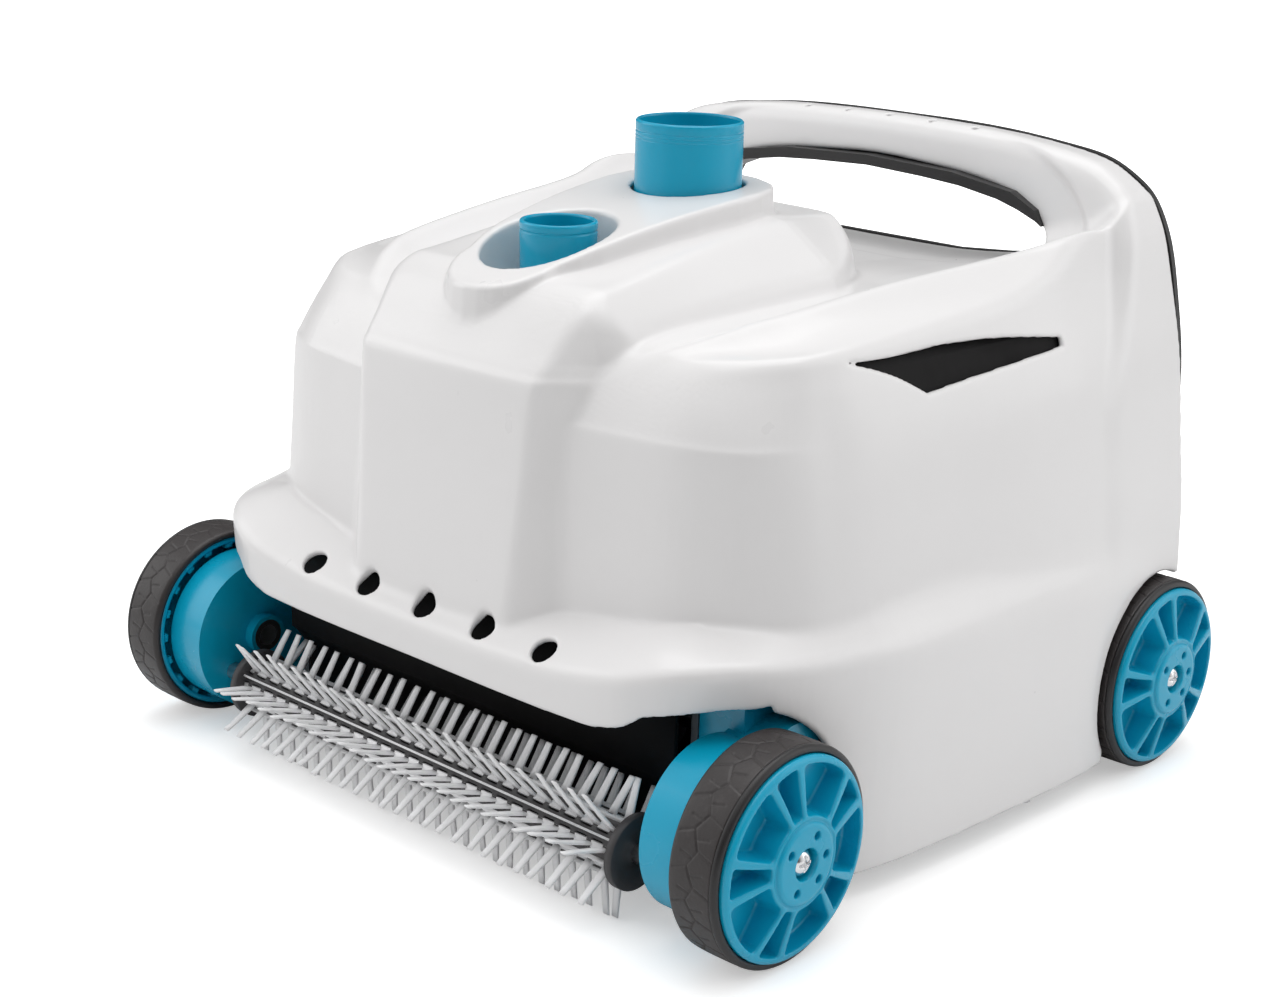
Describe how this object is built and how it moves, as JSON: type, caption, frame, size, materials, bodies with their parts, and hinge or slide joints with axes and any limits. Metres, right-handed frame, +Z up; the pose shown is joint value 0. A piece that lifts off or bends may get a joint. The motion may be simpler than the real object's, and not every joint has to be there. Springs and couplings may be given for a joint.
{
  "type": "pool cleaner",
  "caption": "Wheeled pool floor cleaner driven by pump return water, with a geared brush roller, thrust nozzle, hose inlet, rear arch handle and debris drawer.",
  "frame": {"origin": "on the floor, midway between the two axles and on the middle plane", "axes": "+Z up, the brush faces -Y, +X is the right-hand side seen from behind"},
  "size_m": [0.3866, 0.3592, 0.2917],
  "materials": {
    "shell_white": "satin gloss moulded ABS",
    "wheel_blue": "satin moulded plastic",
    "tyre_grey": "matte rubber",
    "core_black": "matte moulded plastic",
    "bristle_clear": "translucent soft moulding",
    "trim_dark": "matte moulded plastic",
    "tube_blue": "satin moulded plastic",
    "collar_white": "satin moulded plastic",
    "chassis_grey": "matte moulded plastic",
    "inner_grey": "matte moulded plastic",
    "gear_natural": "acetal",
    "turbine_blue": "moulded plastic",
    "drawer_dark": "matte moulded plastic",
    "screen_mesh": "fine moulded screen",
    "screw_chrome": "bright",
    "shaft_steel": "ground stainless steel",
    "bush_black": "acetal",
    "seal_black": "rubber",
    "button_blue": "satin"
  },
  "bodies": {
    "root": {"body_shell": "shell_white", "handle_back_trim": "trim_dark", "handle_grip": "trim_dark", "vent_screens": "core_black", "swivel_collar": "collar_white", "inlet_seal": "seal_black", "inlet_manifold": "inner_grey", "nozzle_seat": "inner_grey", "nozzle_retainer": "inner_grey", "jet_pipes": "inner_grey", "suction_throat_left": "chassis_grey", "suction_throat_right": "chassis_grey", "drive_arm_left": "wheel_blue", "drive_arm_right": "wheel_blue", "drum_cover_left": "wheel_blue", "drum_cover_right": "wheel_blue", "stub_bushes": "bush_black", "brush_hood": "trim_dark", "chassis": "chassis_grey", "drawer_rails": "inner_grey", "plate_screws": "shaft_steel", "turbine_housing": "inner_grey", "turbine_cover": "inner_grey", "gearbox_plate": "inner_grey", "lay_shaft": "shaft_steel", "rear_axle": "shaft_steel", "rear_screws": "screw_chrome"},
    "front_left_wheel": {"front_wheel_left": "wheel_blue", "front_tyre_left": "tyre_grey", "front_screw_left": "screw_chrome", "stub_axle_left": "shaft_steel", "wheel_gear_left": "gear_natural"},
    "front_right_wheel": {"front_wheel_right": "wheel_blue", "front_tyre_right": "tyre_grey", "front_screw_right": "screw_chrome", "stub_axle_right": "shaft_steel", "wheel_gear_right": "gear_natural"},
    "rear_left_wheel": {"rear_wheel_left": "wheel_blue", "rear_tyre_left": "tyre_grey", "rear_bush_left": "bush_black"},
    "rear_right_wheel": {"rear_wheel_right": "wheel_blue", "rear_tyre_right": "tyre_grey", "rear_bush_right": "bush_black"},
    "drive_train": {"drive_shaft": "shaft_steel", "drive_pinions": "gear_natural", "drive_gear": "gear_natural"},
    "brush": {"brush_shaft": "shaft_steel", "brush_core": "core_black", "brush_bristles": "bristle_clear", "brush_gears": "gear_natural"},
    "lay_train": {"lay_gear": "gear_natural"},
    "turbine": {"turbine_wheel": "turbine_blue", "turbine_shaft": "shaft_steel", "turbine_pinion": "gear_natural"},
    "inlet": {"hose_inlet": "tube_blue"},
    "nozzle": {"thrust_nozzle": "tube_blue"},
    "drawer": {"debris_drawer": "drawer_dark", "debris_screen": "screen_mesh"},
    "button": {"release_button": "button_blue"}
  },
  "joints": [
    {"name": "front_left_wheel_spin", "type": "hinge", "parent": "root", "child": "front_left_wheel", "pos_m": [-0.1766, -0.13465, 0.045], "axis": [1, 0, 0], "continuous": true},
    {"name": "front_right_wheel_spin", "type": "hinge", "parent": "root", "child": "front_right_wheel", "pos_m": [0.1766, -0.13465, 0.045], "axis": [1, 0, 0], "continuous": true},
    {"name": "rear_left_wheel_spin", "type": "hinge", "parent": "root", "child": "rear_left_wheel", "pos_m": [-0.1766, 0.13465, 0.045], "axis": [1, 0, 0], "continuous": true},
    {"name": "rear_right_wheel_spin", "type": "hinge", "parent": "root", "child": "rear_right_wheel", "pos_m": [0.1766, 0.13465, 0.045], "axis": [1, 0, 0], "continuous": true},
    {"name": "drive_shaft_spin", "type": "hinge", "parent": "root", "child": "drive_train", "pos_m": [0, -0.10592, 0.0691], "axis": [1, 0, 0], "continuous": true},
    {"name": "brush_spin", "type": "hinge", "parent": "root", "child": "brush", "pos_m": [0, -0.15134, 0.02992], "axis": [1, 0, 0], "continuous": true},
    {"name": "lay_gear_spin", "type": "hinge", "parent": "root", "child": "lay_train", "pos_m": [0, -0.07873, 0.08178], "axis": [1, 0, 0], "continuous": true},
    {"name": "turbine_spin", "type": "hinge", "parent": "root", "child": "turbine", "pos_m": [0, -0.05945, 0.10476], "axis": [1, 0, 0], "continuous": true},
    {"name": "hose_inlet_swivel", "type": "hinge", "parent": "root", "child": "inlet", "pos_m": [0, 0.00175, 0.248], "axis": [0, 0, 1], "continuous": true},
    {"name": "thrust_nozzle_tilt", "type": "hinge", "parent": "root", "child": "nozzle", "pos_m": [0, -0.07925, 0.212], "axis": [1, 0, 0], "range_deg": [-3, 8]},
    {"name": "debris_drawer_slide", "type": "slide", "parent": "root", "child": "drawer", "axis": [0, 1, 0], "range_m": [0, 0.12]},
    {"name": "release_button_press", "type": "slide", "parent": "drawer", "child": "button", "axis": [0, -1, 0], "range_m": [0, 0.0025], "stiffness_N_per_m": 400}
  ],
  "couplings": [
    {"joint": "front_right_wheel_spin", "follows": "front_left_wheel_spin", "ratio": 1},
    {"joint": "drive_shaft_spin", "follows": "front_left_wheel_spin", "ratio": -2.75},
    {"joint": "brush_spin", "follows": "front_left_wheel_spin", "ratio": -1.5714},
    {"joint": "lay_gear_spin", "follows": "front_left_wheel_spin", "ratio": 8.25},
    {"joint": "turbine_spin", "follows": "front_left_wheel_spin", "ratio": -24.75}
  ]
}
